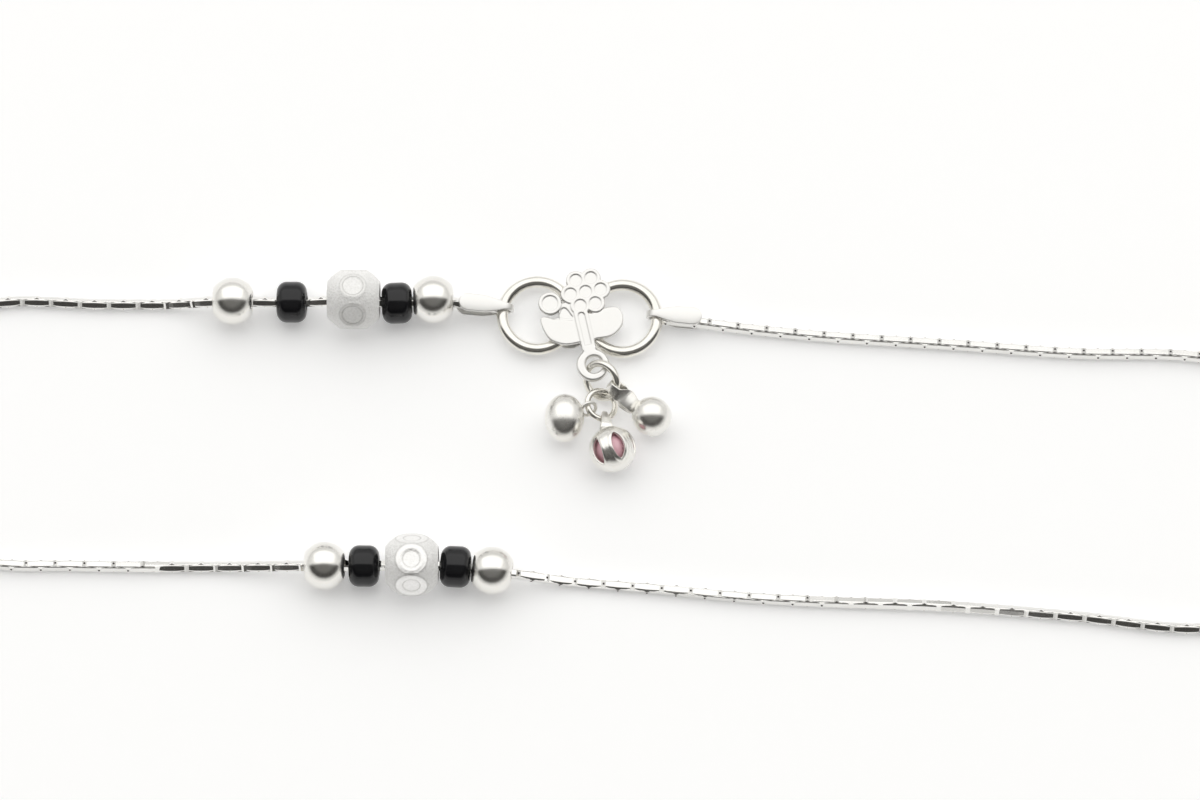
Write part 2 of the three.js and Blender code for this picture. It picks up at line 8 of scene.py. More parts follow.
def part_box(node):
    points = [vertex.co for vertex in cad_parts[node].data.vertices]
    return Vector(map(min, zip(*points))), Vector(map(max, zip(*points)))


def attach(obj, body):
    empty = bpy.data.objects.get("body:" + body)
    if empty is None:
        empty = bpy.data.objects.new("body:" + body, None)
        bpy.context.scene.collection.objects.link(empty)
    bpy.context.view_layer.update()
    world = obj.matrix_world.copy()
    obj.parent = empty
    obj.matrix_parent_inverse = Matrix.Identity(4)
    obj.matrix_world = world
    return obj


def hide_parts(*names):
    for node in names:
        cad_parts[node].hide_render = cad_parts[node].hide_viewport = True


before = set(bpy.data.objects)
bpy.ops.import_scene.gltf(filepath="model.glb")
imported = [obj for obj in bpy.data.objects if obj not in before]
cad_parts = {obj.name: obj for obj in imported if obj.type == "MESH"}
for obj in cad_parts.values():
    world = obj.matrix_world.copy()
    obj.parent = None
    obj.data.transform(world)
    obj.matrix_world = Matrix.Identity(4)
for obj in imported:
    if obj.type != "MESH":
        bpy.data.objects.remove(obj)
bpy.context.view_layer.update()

# Chain. A square fancy chain of sterling silver, woven from short strips: one family shows above and
# below, the other at the sides, half a link further on. Their bent ends meet in ridges with a keyhole.
# It is threaded through the beads and ends in the tabs.
# Its keyholes and its hollow inside are painted shade: dark patches and a dark core tube.
MM = 0.001
LINK_PITCH = 2.4
CHAIN_SIDE = 0.76
CORE_RADIUS = 0.24
TABLE_GAP = 0.01
RIDGE_RISE, RIDGE_SLOPE = 0.08, 0.55
KEYHOLE_HALF = 0.08
# A chain rolled to within the range of this angle shows its ridges without keyholes.
PLAIN_ROLL, PLAIN_RANGE = 49, 13
LEFT_RING = (-5.25, 7.03)
low, high = (Vector(corner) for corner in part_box("clasp_ring_left"))
LAYOUT = Vector(((low.x + high.x) / 2 - LEFT_RING[0] * MM, (low.y + high.y) / 2 - LEFT_RING[1] * MM, 0))
# Each row is a point of the route: x, y, its lift from the table, and the chain's roll in degrees.
ROUTE = [
    (-8.9, 7.72, 0.5, 50), (-12.0, 8.0, 1.0, 52), (-13.9, 8.14, 1.28, 52), (-16.9, 7.9, 1.2, 52),
    (-20.5, 7.95, 1.95, 52), (-25.7, 7.98, 1.2, 52), (-30.6, 8.0, 1.4, 52), (-32.6, 8.03, 1.08, 52),
    (-36.0, 8.1, 0.1, 52), (-41.7, 8.13, 0, 51), (-50, 8.27, 0, 52), (-55.6, 6.8, 0, 56),
    (-59.3, 2.5, 0, 60), (-60.3, -2.9, 0, 64), (-59.3, -8.3, 0, 68), (-55.6, -12.6, 0, 70),
    (-50, -14.07, 0, 70), (-44, -14.25, 0, 70), (-38.1, -14.34, 0, 64), (-35.5, -14.34, 0, 40),
    (-31.3, -14.34, 0.05, 38), (-24.8, -14.5, 1.05, 40), (-22.7, -14.57, 1.38, 45),
    (-19.45, -14.54, 1.2, 60), (-15.43, -14.64, 1.9, 70), (-11.93, -14.6, 1.2, 75),
    (-8.95, -14.97, 1.4, 80), (-6.8, -15.2, 1.08, 86), (-2.2, -15.62, 0.05, 92), (4.8, -16.22, 0, 86),
    (12.1, -16.93, 0, 74), (18, -17.27, 0, 63), (28.4, -17.67, 0, 51), (38.5, -18.44, 0, 38),
    (49.8, -19.49, 0, 37), (55.7, -18.1, 0, 37), (59.8, -13.6, 0, 36), (60.9, -8, 0, 34),
    (59.8, -2.4, 0, 31), (55.7, 2.1, 0, 28), (49.9, 3.56, 0, 25), (39.4, 3.89, 0, 24),
    (29.9, 4.58, 0, 24), (19.4, 5.28, 0, 24), (12, 5.98, 0.1, 24), (8.33, 6.42, 0.34, 22),
    (5.5, 6.68, 0.4, 20),
]


class Value:
    """A node's output that can be used in sums."""

    def __init__(self, graph, socket):
        self.graph = graph
        self.socket = socket

    def sum(self, operation, *terms):
        return self.graph.node("ShaderNodeMath", {"operation": operation}, dict(enumerate(terms)))

    def __add__(self, other):
        return self.sum("ADD", self, other)

    def __radd__(self, other):
        return self.sum("ADD", other, self)

    def __sub__(self, other):
        return self.sum("SUBTRACT", self, other)

    def __rsub__(self, other):
        return self.sum("SUBTRACT", other, self)

    def __mul__(self, other):
        return self.sum("MULTIPLY", self, other)

    def __rmul__(self, other):
        return self.sum("MULTIPLY", other, self)

    def __mod__(self, other):
        return self.sum("MODULO", self, other)

    def other(self, name):
        return Value(self.graph, self.socket.node.outputs[name])


class Graph:
    """A node tree that is filled one node at a time."""

    def __init__(self, tree):
        self.tree = tree
        tree.nodes.clear()

    def node(self, kind, settings=None, values=None, output=0):
        made = self.tree.nodes.new(kind)
        for name, setting in (settings or {}).items():
            setattr(made, name, setting)
        for name, value in (values or {}).items():
            for part in value if isinstance(value, list) else [value]:
                if isinstance(part, Value):
                    self.tree.links.new(part.socket, made.inputs[name])
                else:
                    made.inputs[name].default_value = part
        return Value(self, made.outputs[output]) if made.outputs else made

    def mixed(self, factor, first, second):
        return self.node("ShaderNodeMix", {"data_type": "RGBA"}, {0: factor, 6: first, 7: second}, 2)


def material(name, build):
    made = bpy.data.materials.new(name)
    made.use_nodes = True
    graph = Graph(made.node_tree)
    place = graph.node("ShaderNodeTexCoord").other("Object")
    shader = build(graph, place)
    graph.node("ShaderNodeOutputMaterial", None, {"Surface": shader})
    return made


def silver(light, dark, roughness, spread, grain, bump):
    """Silver with cloudy polish and a fine grain, sizes in cycles per metre."""

    def build(graph, place):
        cloud = graph.node("ShaderNodeTexNoise", None, {"Vector": place, "Scale": 420.0, "Detail": 4.0})
        fine = graph.node("ShaderNodeTexNoise", None, {"Vector": place, "Scale": grain, "Detail": 3.0})
        shade = graph.node("ShaderNodeMapRange", None, {"Value": cloud, 1: 0.35, 2: 0.7})
        colour = graph.mixed(shade, dark, light)
        height = graph.node("ShaderNodeBump", None, {"Strength": bump, "Distance": 0.00002, "Height": fine})
        return graph.node("ShaderNodeBsdfPrincipled", None, {
            "Base Color": colour,
            "Metallic": 1.0,
            "Roughness": roughness + (cloud - 0.5) * spread,
            "Normal": height,
        })

    return build


chain_silver = material("chain_silver", silver(
    (0.88, 0.873, 0.85, 1), (0.82, 0.812, 0.79, 1),
    roughness=0.16, spread=0.12, grain=9000.0, bump=0.12))


# Painted shade: a near-black colour for the core tube and keyhole patches, standing for the shade inside
# the hollow chain.
def chain_shade_shader(graph, place):
    cloud = graph.node("ShaderNodeTexNoise", None, {"Vector": place, "Scale": 1500.0, "Detail": 2.0})
    colour = graph.mixed(cloud, (0.02, 0.018, 0.016, 1), (0.07, 0.062, 0.055, 1))
    return graph.node("ShaderNodeBsdfPrincipled", None, {
        "Base Color": colour, "Metallic": 0.4, "Roughness": 0.6})


chain_shade = material("chain_shade", chain_shade_shader)


def rest_height(roll):
    turn = math.radians(roll % 90)
    return CHAIN_SIDE / 2 * (math.cos(turn) + math.sin(turn)) + TABLE_GAP


def smooth_route(rows, steps):
    """Points of the smooth line through the rows, each with its roll."""
    points = [np.array((x, y, lift + rest_height(roll))) for x, y, lift, roll in rows]
    points = [2 * points[0] - points[1], *points, 2 * points[-1] - points[-2]]
    line = []
    for k in range(1, len(points) - 2):
        p0, p1, p2, p3 = points[k - 1:k + 3]
        d0, d1, d2 = (math.sqrt(np.linalg.norm(b - a)) for a, b in ((p0, p1), (p1, p2), (p2, p3)))
        leave = ((p1 - p0) / d0 - (p2 - p0) / (d0 + d1) + (p2 - p1) / d1) * d1
        arrive = ((p2 - p1) / d1 - (p3 - p1) / (d1 + d2) + (p3 - p2) / d2) * d1
        for i in range(steps + (k == len(points) - 3)):
            t = i / steps
            place = (p1 + leave * t + (3 * (p2 - p1) - 2 * leave - arrive) * t ** 2
                     + (2 * (p1 - p2) + leave + arrive) * t ** 3)
            roll = rows[k - 1][3] * (1 - t) + rows[k][3] * t
            place[2] = max(place[2], rest_height(roll))
            line.append((Vector(place) * MM + LAYOUT, roll))
    return line


def mesh_object(name, vertices, faces, finish, smooth=True, edges=()):
    mesh = bpy.data.meshes.new(name)
    mesh.from_pydata([tuple(v) for v in vertices], list(edges), [tuple(int(i) for i in f) for f in faces])
    mesh.validate()
    mesh.update()
    if finish:
        mesh.materials.append(finish)
    if smooth and mesh.polygons:
        mesh.shade_smooth()
    made = bpy.data.objects.new(name, mesh)
    bpy.context.collection.objects.link(made)
    return made


def plate_mesh():
    """One face of a link: a strip with bevelled edges, bent down at both ends."""
    stations = [(-1.19, 0.16, 0.26), (-1.03, 0.03, 0.285), (-0.55, 0, 0.31), (0, 0, 0.325),
                (0.55, 0, 0.31), (1.03, 0.03, 0.285), (1.19, 0.16, 0.26)]
    vertices = []
    for along, drop, half in stations:
        for across, bevel in ((-half, 0.2), (-half, 0.061), (0.065 - half, 0.016), (0.125 - half, 0),
                              (half - 0.125, 0), (half - 0.065, 0.016), (half, 0.061), (half, 0.2)):
            vertices.append(Vector((along, across, CHAIN_SIDE / 2 - drop - bevel)) * MM)
    faces = [(s * 8 + c, s * 8 + c + 8, s * 8 + c + 9, s * 8 + c + 1) for s in range(6) for c in range(7)]
    return vertices, faces


def ridge_height(along):
    return CHAIN_SIDE / 2 + RIDGE_RISE - RIDGE_SLOPE * abs(along)


def bar_mesh():
    """The bent ends where two links of one row meet: a low ridge across it."""
    vertices = [Vector((along, across, ridge_height(along) + lift)) * MM
                for across, lift in ((-0.32, -0.1), (-0.28, -0.01), (0.28, -0.01), (0.32, -0.1))
                for along in (-0.28, 0, 0.28)]
    faces = [(c * 3 + a, c * 3 + a + 1, c * 3 + a + 4, c * 3 + a + 3)
             for c in range(3) for a in range(2)]
    return vertices, faces


def pit_mesh():
    """Painted shade: a dark patch just over the middle of a ridge, for the shade in its keyhole."""
    vertices = [Vector((along, across, ridge_height(along) + 0.006)) * MM
                for across in (-KEYHOLE_HALF, KEYHOLE_HALF)
                for along in (-KEYHOLE_HALF, 0, KEYHOLE_HALF)]
    return vertices, [(0, 1, 4, 3), (1, 2, 5, 4)]


def chain_tree():
    """Places the strips, ridges and keyhole patches along the route, round a core; patches and core are
    painted shade.
    """
    tree = bpy.data.node_groups.new("square_chain", "GeometryNodeTree")
    for name, kind in (("Route", "Geometry"), ("Strip", "Object"), ("Bar", "Object"), ("Pit", "Object"),
                       ("Spacing", "Float"), ("Core Radius", "Float"),
                       ("Silver", "Material"), ("Core", "Material")):
        tree.interface.new_socket(name, in_out="INPUT", socket_type="NodeSocket" + kind)
    tree.interface.new_socket("Chain", in_out="OUTPUT", socket_type="NodeSocketGeometry")
    graph = Graph(tree)
    given = graph.node("NodeGroupInput")
    curve = graph.node("GeometryNodeMeshToCurve", None, {"Mesh": given})
    line = graph.node("GeometryNodeResampleCurve", {"mode": "LENGTH"}, {
        "Curve": curve, "Length": given.other("Spacing")})
    along = graph.node("GeometryNodeInputTangent")
    roll = graph.node("GeometryNodeInputNamedAttribute", {"data_type": "FLOAT"}, {"Name": "roll"})

    def vectors(operation, *terms):
        return graph.node("ShaderNodeVectorMath", {"operation": operation}, dict(enumerate(terms)))

    def scaled(vector, factor):
        return graph.node("ShaderNodeVectorMath", {"operation": "SCALE"}, {0: vector, "Scale": factor})

    def facing(outward):
        return graph.node("FunctionNodeAxesToRotation", {"primary_axis": "X", "secondary_axis": "Z"}, {
            "Primary Axis": along, "Secondary Axis": outward})

    def finished(pieces, finish):
        joined = graph.node("GeometryNodeJoinGeometry", None, {"Geometry": pieces})
        real = graph.node("GeometryNodeRealizeInstances", None, {"Geometry": joined})
        return graph.node("GeometryNodeSetMaterial", None, {
            "Geometry": real, "Material": given.other(finish)})

    side = vectors("NORMALIZE", vectors("CROSS_PRODUCT", (0, 0, 1), along))
    up = vectors("CROSS_PRODUCT", along, side)
    number = graph.node("GeometryNodeInputIndex")
    strip, bar, pit = (
        graph.node("GeometryNodeObjectInfo", None, {"Object": given.other(name)}).other("Geometry")
        for name in ("Strip", "Bar", "Pit"))
    bright, dark = [], []
    from_plain = roll.sum("ABSOLUTE", roll - math.radians(PLAIN_ROLL))
    open_holes = roll.sum("GREATER_THAN", from_plain, math.radians(PLAIN_RANGE))
    for half_turn in (0.0, math.pi):
        turn = roll + (number % 2.0) * (math.pi / 2) + half_turn
        across = graph.node("ShaderNodeCombineXYZ", None, {
            0: turn.sum("COSINE", turn), 1: turn.sum("SINE", turn)})
        apart = graph.node("ShaderNodeSeparateXYZ", None, {0: across})
        face = vectors("ADD", scaled(side, apart), scaled(up, apart.other("Y")))
        turned = facing(face)
        bridged = facing(vectors("CROSS_PRODUCT", along, face))
        for family, piece, rotation, shown in ((bright, strip, turned, True), (bright, bar, bridged, True),
                                               (dark, pit, bridged, open_holes)):
            family.append(graph.node("GeometryNodeInstanceOnPoints", None, {
                "Points": line, "Instance": piece, "Rotation": rotation, "Selection": shown}))
    # The core is painted shade: a dark tube inside the hollow chain, where shade falls.
    ring = graph.node("GeometryNodeCurvePrimitiveCircle", {"mode": "RADIUS"}, {
        "Resolution": 8, "Radius": given.other("Core Radius")})
    core = graph.node("GeometryNodeCurveToMesh", None, {
        "Curve": line, "Profile Curve": ring, "Fill Caps": True})
    both = graph.node("GeometryNodeJoinGeometry", None, {
        "Geometry": [finished(bright, "Silver"), finished([*dark, core], "Core")]})
    graph.node("NodeGroupOutput", None, {"Chain": both})
    return tree


def baked(carrier, tree, inputs, name):
    """The plain mesh that the tree makes of the carrier, as an object."""
    modifier = carrier.modifiers.new("shape", "NODES")
    modifier.node_group = tree
    for socket in tree.interface.items_tree:
        if socket.in_out == "INPUT" and socket.name in inputs:
            modifier[socket.identifier] = inputs[socket.name]
    carrier.update_tag()
    view = bpy.context.view_layer
    view.update()
    mesh = bpy.data.meshes.new_from_object(carrier.evaluated_get(view.depsgraph))
    carrier.modifiers.clear()
    mesh.name = name
    made = bpy.data.objects.new(name, mesh)
    bpy.context.collection.objects.link(made)
    return made


def removed(*objects):
    for thing in objects:
        bpy.data.objects.remove(thing)


route = smooth_route(ROUTE, 16)
carrier = mesh_object("chain_route", [p for p, _ in route], [], None,
                      edges=[(i, i + 1) for i in range(len(route) - 1)])
rolls = carrier.data.attributes.new("roll", "FLOAT", "POINT")
rolls.data.foreach_set("value", [math.radians(roll) for _, roll in route])
strip = mesh_object("link_strip", *plate_mesh(), None, smooth=False)
bar = mesh_object("link_bar", *bar_mesh(), None, smooth=False)
pit = mesh_object("link_pit", *pit_mesh(), None, smooth=False)
chain = baked(carrier, chain_tree(), {
    "Strip": strip, "Bar": bar, "Pit": pit, "Spacing": LINK_PITCH / 2 * MM, "Core Radius": CORE_RADIUS * MM,
    "Silver": chain_silver, "Core": chain_shade}, "chain")
removed(carrier, strip, bar, pit)
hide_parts("chain_left", "chain_right")
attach(chain, "root")

# Beads. Two groups of five are threaded on the chain: plain silver balls drilled
# through, barrels of black glass, and a large frosted silver ball with six
# circles ground round its waist.
UP = Vector((0, 0, 1))


def revolved(profile, sides):
    """Round body about X through a closed profile of (radius, height)."""
    vertices, faces = [], []
    count = len(profile)
    for s in range(sides):
        turn = 2 * math.pi * s / sides
        vertices += [(h, r * math.cos(turn), r * math.sin(turn)) for r, h in profile]
        nxt = (s + 1) % sides
        faces += [(s * count + i, s * count + (i + 1) % count,
                   nxt * count + (i + 1) % count, nxt * count + i) for i in range(count)]
    return vertices, faces


def bead_place(node):
    """Where a bead sits: its centre and the chain's level direction there."""
    low, high = (Vector(corner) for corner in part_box(node))
    centre = (low + high) / 2
    near = min(range(1, len(route) - 1), key=lambda i: (route[i][0].xy - centre.xy).length)
    along = route[near + 1][0] - route[near - 1][0]
    along.z = 0
    if along.x < 0:
        along.negate()
    return centre, along.normalized()


def laid(vertices, centre, along, up):
    """Vertices in millimetres, turned so that X runs along and Z up, and moved."""
    x = along.normalized()
    y = up.cross(x).normalized()
    turn = Matrix((x, y, x.cross(y))).transposed()
    return [turn @ (Vector(v) * MM) + centre for v in vertices]


def kept(piece, node):
    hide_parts(node)
    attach(piece, "root")


def ball_profile(radius, length, bore, steps):
    reach = math.asin((length / 2 - 0.03) / radius)
    profile = [(bore, -length / 2 + 0.06), (bore + 0.05, -length / 2)]
    for i in range(steps + 1):
        turn = -reach + 2 * reach * i / steps
        profile.append((radius * math.cos(turn), radius * math.sin(turn)))
    return profile + [(bore + 0.05, length / 2), (bore, length / 2 - 0.06)]


def barrel_profile(radius, length, bore, corner, steps):
    profile = [(bore, -length / 2 + 0.25), (bore + 0.12, -length / 2 + 0.05)]
    for end in (-1, 1):
        for i in range(steps + 1):
            turn = (i if end < 0 else steps - i) / steps * math.pi / 2
            profile.append((radius - corner * (1 - math.sin(turn)),
                            end * (length / 2 - corner * (1 - math.cos(turn)))))
    return profile + [(bore + 0.12, length / 2 - 0.05), (bore, length / 2 - 0.25)]


def glass_shader(graph, place):
    flow = graph.node("ShaderNodeTexNoise", None, {"Vector": place, "Scale": 500.0, "Detail": 2.0})
    colour = graph.mixed(flow, (0.003, 0.003, 0.004, 1), (0.012, 0.012, 0.014, 1))
    height = graph.node("ShaderNodeBump", None, {"Strength": 0.12, "Distance": 0.0001, "Height": flow})
    return graph.node("ShaderNodeBsdfPrincipled", None, {
        "Base Color": colour, "Roughness": 0.1 + flow * 0.1, "IOR": 1.46, "Normal": height})


bead_silver = material("bead_silver", silver(
    (0.91, 0.9, 0.87, 1), (0.85, 0.835, 0.795, 1),
    roughness=0.2, spread=0.16, grain=14000.0, bump=0.2))
black_glass = material("black_glass", glass_shader)
for number in range(1, 5):
    node = f"bead_silver_{number}"
    centre, along = bead_place(node)
    vertices, faces = revolved(ball_profile(radius=1.98, length=3.3, bore=0.92, steps=28), 56)
    bead = mesh_object(node + "_turned", laid(vertices, centre, along, UP), faces, bead_silver)
    kept(bead, node)
for number in range(1, 5):
    node = f"bead_black_{number}"
    centre, along = bead_place(node)
    profile = barrel_profile(radius=1.72, length=2.52, bore=0.9, corner=0.85, steps=10)
    vertices, faces = revolved(profile, 56)
    bead = mesh_object(node + "_glass", laid(vertices, centre, along, UP), faces, black_glass)
    kept(bead, node)


def smooth_step(value, low, high):
    t = np.clip((value - low) / (high - low), 0, 1)
    return t * t * (3 - 2 * t)


LARGE_RADIUS, LARGE_LIFT = 2.65, 0.09


def large_bead(first_circle, rim, inner_rim, shine):
    """Frosted ball with six ground circles, the first at a given angle from the front."""
    rows, sides, radius, half, bore = 72, 168, LARGE_RADIUS, 2.18, 1.3
    reach = math.asin(half / radius)
    lean = np.linspace(-reach, reach, rows)
    turn = np.arange(sides) * 2 * math.pi / sides
    height = np.zeros((sides, rows))
    flat = np.zeros((sides, rows))
    line = np.zeros((sides, rows))
    for k in range(6):
        middle = math.radians(first_circle + 60 * k)
        facing = np.cos(lean)[None, :] * np.cos(turn - middle)[:, None]
        away = np.arccos(np.clip(facing, -1, 1)) * radius
        ground = np.minimum(radius * math.cos(rim / radius) / np.maximum(facing, 0.1) - radius, 0)
        height = np.where(away < rim, np.minimum(height, ground), height)
        height += 0.03 * (1 - smooth_step(np.abs(away - inner_rim - 0.23), 0.1, 0.19))
        flat = np.maximum(flat, shine * (1 - smooth_step(away, rim - 0.1, rim)))
        # Line mark: painted shade darkening the colour along each circle's inner and outer rim.
        inner = 1 - smooth_step(np.abs(away - inner_rim), 0.02, 0.08)
        outer = 1 - smooth_step(np.abs(away - rim), 0.02, 0.09)
        line = np.maximum(line, np.maximum(inner, outer * 0.5))
    out = radius + height
    x = out * np.sin(lean)[None, :]
    y = -out * np.cos(lean)[None, :] * np.cos(turn)[:, None]
    z = out * np.cos(lean)[None, :] * np.sin(turn)[:, None]
    grid = np.stack([x, y, z], axis=2)
    start = np.stack([np.full(sides, -half), -bore * np.cos(turn), bore * np.sin(turn)], axis=1)
    end = start * (-1, 1, 1)
    grid = np.concatenate([start[:, None, :], grid, end[:, None, :]], axis=1)
    count = rows + 2
    faces = []
    for s in range(sides):
        nxt = (s + 1) % sides
        faces += [(s * count + i, nxt * count + i,
                   nxt * count + (i + 1) % count, s * count + (i + 1) % count) for i in range(count)]
    marks = [np.pad(mark, ((0, 0), (1, 1))).reshape(-1) for mark in (flat, line)]
    return grid.reshape(-1, 3), faces, marks


def frosted_shader(graph, place):
    plain = graph.node("ShaderNodeAttribute", {"attribute_name": "plain"}).other("Fac")
    pits = graph.node("ShaderNodeTexVoronoi", {"feature": "F1"}, {"Vector": place, "Scale": 5200.0})
    grain = graph.node("ShaderNodeTexNoise", None, {"Vector": place, "Scale": 9000.0, "Detail": 4.0})
    rough = 1.0 - plain * 0.85
    height = graph.node("ShaderNodeBump", None, {
        "Strength": 0.8, "Distance": 0.00008, "Height": (pits * 0.7 + grain * 0.6) * rough})
    line = graph.node("ShaderNodeAttribute", {"attribute_name": "line"}).other("Fac")
    colour = graph.mixed(pits, (0.86, 0.855, 0.84, 1), (0.98, 0.975, 0.965, 1))
    # Painted shade along the ground circles' rims, from the line mark.
    colour = graph.mixed(line * 0.6, colour, (0.45, 0.44, 0.42, 1))
    return graph.node("ShaderNodeBsdfPrincipled", None, {
        "Base Color": colour, "Metallic": 0.25 + plain * 0.5, "Roughness": 0.24 + rough * 0.3,
        "Normal": height})


frosted_silver = material("frosted_silver", frosted_shader)
for node, circles in (
        ("bead_large_1", {"first_circle": 43, "rim": 1.12, "inner_rim": 0.9, "shine": 0.35}),
        ("bead_large_2", {"first_circle": 29, "rim": 1.42, "inner_rim": 0.8, "shine": 1.0})):
    centre, along = bead_place(node)
    centre.z = (LARGE_RADIUS + LARGE_LIFT) * MM
    vertices, faces, marks = large_bead(**circles)
    bead = mesh_object(node + "_frosted", laid(vertices, centre, along, UP), faces, frosted_silver)
    for name, mark in zip(("plain", "line"), marks):
        bead.data.attributes.new(name, "FLOAT", "POINT").data.foreach_set("value", mark)
    kept(bead, node)

# Clasp rings. Two rings of round silver wire, bent and soldered shut, which the
# hooks behind the flower catch from the inside.
CLASP_RADIUS, CLASP_WIRE = 2.9, 0.5


def wire_ring(radius, wire, sides=96, wire_sides=24):
    """Round wire ring about Z, in millimetres."""
    turns = [2 * math.pi * i / wire_sides for i in range(wire_sides)]
    profile = [(radius + wire * math.cos(turn), wire * math.sin(turn)) for turn in turns]
    vertices, faces = revolved(profile, sides)
    return [(y, z, x) for x, y, z in vertices], faces


ring_silver = material("ring_silver", silver(
    (0.88, 0.862, 0.812, 1), (0.8, 0.782, 0.73, 1),
    roughness=0.18, spread=0.12, grain=8000.0, bump=0.1))
for side in ("left", "right"):
    node = f"clasp_ring_{side}"
    low, high = (Vector(corner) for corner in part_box(node))
    vertices, faces = wire_ring(CLASP_RADIUS, CLASP_WIRE, 128, 28)
    ring = mesh_object(node + "_wire", laid(vertices, (low + high) / 2, Vector((1, 0, 0)), UP),
                       faces, ring_silver)
    kept(ring, node)

# End tabs. A leaf cut from silver sheet is folded round each ring, and its two
# flaps are pinched over the last link of the chain.
SECTION_POINTS = 16
TAB_THICK, TAB_PLAY, TAB_TIP = 0.28, 0.13, 0.75
TAB_LEVEL = CLASP_WIRE + TAB_PLAY + TAB_THICK / 2
TAB_HEIGHT = 0.92


def rounded_section(half, thick, corner=0.07):
    """Corners of a flat wire's section, rounded."""
    corner = min(corner, half * 0.9, thick / 2 * 0.9)
    points = []
    for sx, sy, start in ((1, 1, 0), (-1, 1, 90), (-1, -1, 180), (1, -1, 270)):
        for i in range(4):
            turn = math.radians(start + 30 * i)
            points.append((sx * (half - corner) + corner * math.cos(turn),
                           sy * (thick / 2 - corner) + corner * math.sin(turn)))
    return points


def swept(path, halves, thick, closed):
    """Flat strip along a path in X and Z, its width along Y."""
    vertices, faces = [], []
    last, n = len(path) - 1, SECTION_POINTS
    for i, ((x, z), half) in enumerate(zip(path, halves)):
        before = path[i - 1] if i or closed else path[0]
        after = path[(i + 1) % len(path)] if i < last or closed else path[last]
        along = Vector((after[0] - before[0], after[1] - before[1])).normalized()
        out = Vector((-along.y, along.x))
        vertices += [(x + out.x * v, u, z + out.y * v) for u, v in rounded_section(half, thick)]
    for i in range(last + closed):
        a, b = i * n, (i + 1) % len(path) * n
        faces += [(a + c, b + c, b + (c + 1) % n, a + (c + 1) % n) for c in range(n)]
    if not closed:
        faces += [tuple(range(n)), tuple(range(last * n + n - 1, last * n - 1, -1))]
    return vertices, faces


def fold_path(reach_top, reach_bottom, level, steps=16):
    """Over the wire, round it and back: the strip's middle line."""
    top = [(-reach_top * (1 - t), level) for t in np.linspace(0, 1, 40)[:-1]]
    turn = [(level * math.sin(a), level * math.cos(a)) for a in np.linspace(0, math.pi, steps)]
    bottom = [(-reach_bottom * t, -level) for t in np.linspace(0, 1, 40)[1:]]
    return top + turn + bottom


def leaf_half(x, length):
    """Half the leaf's width at a distance behind the ring."""
    tip = -length + TAB_TIP
    if x < tip:
        return TAB_TIP * math.sqrt(max(1 - ((tip - x) / TAB_TIP) ** 2, 0.0006))
    return float(np.interp(x, [tip, -length * 0.42, -0.75, 0.1, 1.0], [TAB_TIP, 0.72, 0.54, 0.3, 0.28]))


def eased(x, length):
    """Draws the stations together toward the leaf's rounded tip."""
    if x > TAB_TIP - length:
        return x
    return -length + TAB_TIP * (1 - math.cos((x + length) / TAB_TIP * math.pi / 2))


def end_tab(length):
    path = [(eased(x, length), z) for x, z in fold_path(length, length, TAB_LEVEL)]
    return swept(path, [leaf_half(x, length) for x, _ in path], TAB_THICK, False)


def plate_shader(graph, place):
    groove = graph.node("ShaderNodeAttribute", {"attribute_name": "groove"}).other("Fac")
    cloud = graph.node("ShaderNodeTexNoise", None, {"Vector": place, "Scale": 900.0, "Detail": 3.0})
    fine = graph.node("ShaderNodeTexNoise", None, {"Vector": place, "Scale": 16000.0, "Detail": 3.0})
    colour = graph.mixed(cloud, (0.82, 0.812, 0.792, 1), (0.89, 0.882, 0.862, 1))
    # Painted shade: the groove mark darkens the colour along the engraved lines, partly as tarnish.
    colour = graph.mixed(groove * 0.3, colour, (0.5, 0.49, 0.47, 1))
    height = graph.node("ShaderNodeBump", None, {"Strength": 0.2, "Distance": 0.00002, "Height": fine})
    return graph.node("ShaderNodeBsdfPrincipled", None, {
        "Base Color": colour, "Metallic": 1.0, "Roughness": 0.3 + cloud * 0.12, "Normal": height})


plate_silver = material("plate_silver", plate_shader)
for side, length, base, tilt, turn in (("left", 3.85, (*LEFT_RING, 7.68), 9, -4.3),
                                       ("right", 3.75, (1.87, 6.77, 7.03), 0, 175.5)):
    node = f"end_tab_{side}"
    x, ring_y, y = base
    reach = math.sqrt(CLASP_RADIUS ** 2 - (y - ring_y) ** 2)
    origin = Vector(((x - reach if side == "left" else x + reach), y, TAB_HEIGHT)) * MM + LAYOUT
    place = Matrix.Rotation(math.radians(turn), 4, "Z") @ Matrix.Rotation(math.radians(tilt), 4, "Y")
    vertices, faces = end_tab(length)
    placed = [place @ (Vector(v) * MM) + origin for v in vertices]
    tab = mesh_object(node + "_sheet", placed, faces, plate_silver)
    kept(tab, node)

